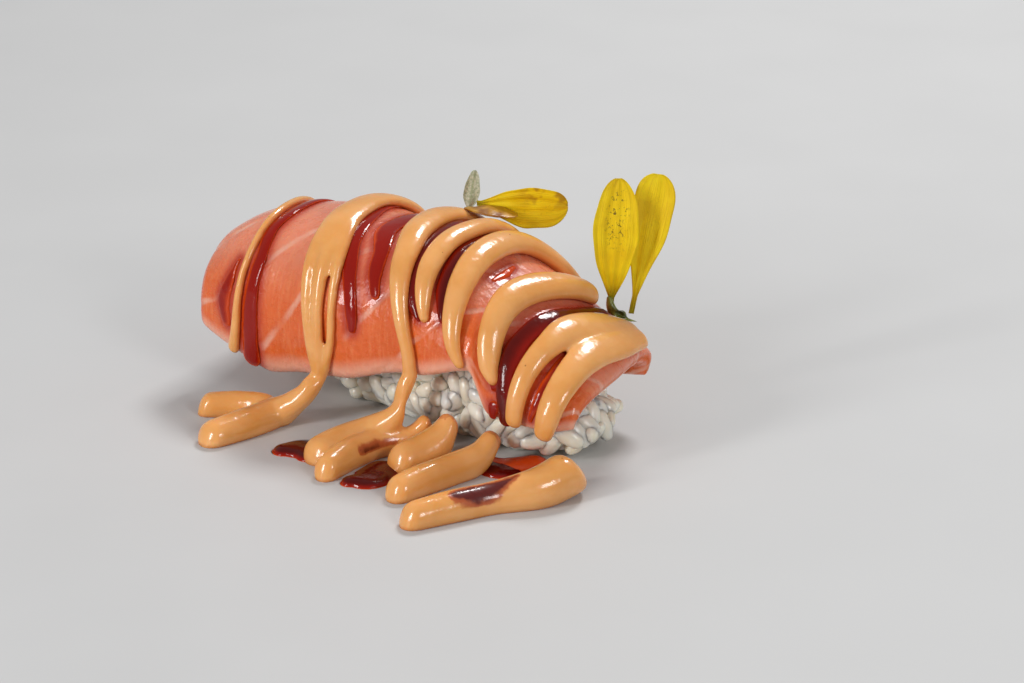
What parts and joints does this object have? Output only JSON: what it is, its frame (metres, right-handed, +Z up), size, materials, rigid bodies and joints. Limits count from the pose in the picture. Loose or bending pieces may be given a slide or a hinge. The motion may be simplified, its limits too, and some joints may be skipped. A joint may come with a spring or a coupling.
{
  "type": "salmon nigiri",
  "caption": "Salmon nigiri: a thick slice of raw salmon draped over pressed rice, drizzled with creamy and dark sauce that runs out in front, with yellow petals and a small leaf",
  "frame": {"origin": "on the table, at the middle of the flat underside of the rice", "axes": "+X along the nigiri towards the end where the slice slopes down, +Y to the far side, away from where the sauce ran out, +Z up"},
  "size_m": [0.0845, 0.0629, 0.041],
  "materials": {
    "rice": "moist, translucent cooked grains",
    "salmon": "wet raw fish with pale fat lines",
    "cream_sauce": "smooth, glossy, thick sauce",
    "petal": "matt, ribbed petal",
    "leaf": "matt, downy leaf",
    "dark_sauce": "thin, glossy dark red-brown sauce"
  },
  "bodies": {
    "root": {"rice_bed": "rice", "salmon_slice": "salmon", "cream_band_1": "cream_sauce", "cream_band_2": "cream_sauce", "cream_band_3": "cream_sauce", "cream_band_4": "cream_sauce", "cream_band_5": "cream_sauce", "cream_band_6": "cream_sauce", "cream_band_7": "cream_sauce", "cream_trail_1": "cream_sauce", "cream_trail_2": "cream_sauce", "cream_trail_3": "cream_sauce", "petal_1": "petal", "petal_2": "petal", "petal_3": "petal", "leaf": "leaf"}
  },
  "joints": []
}
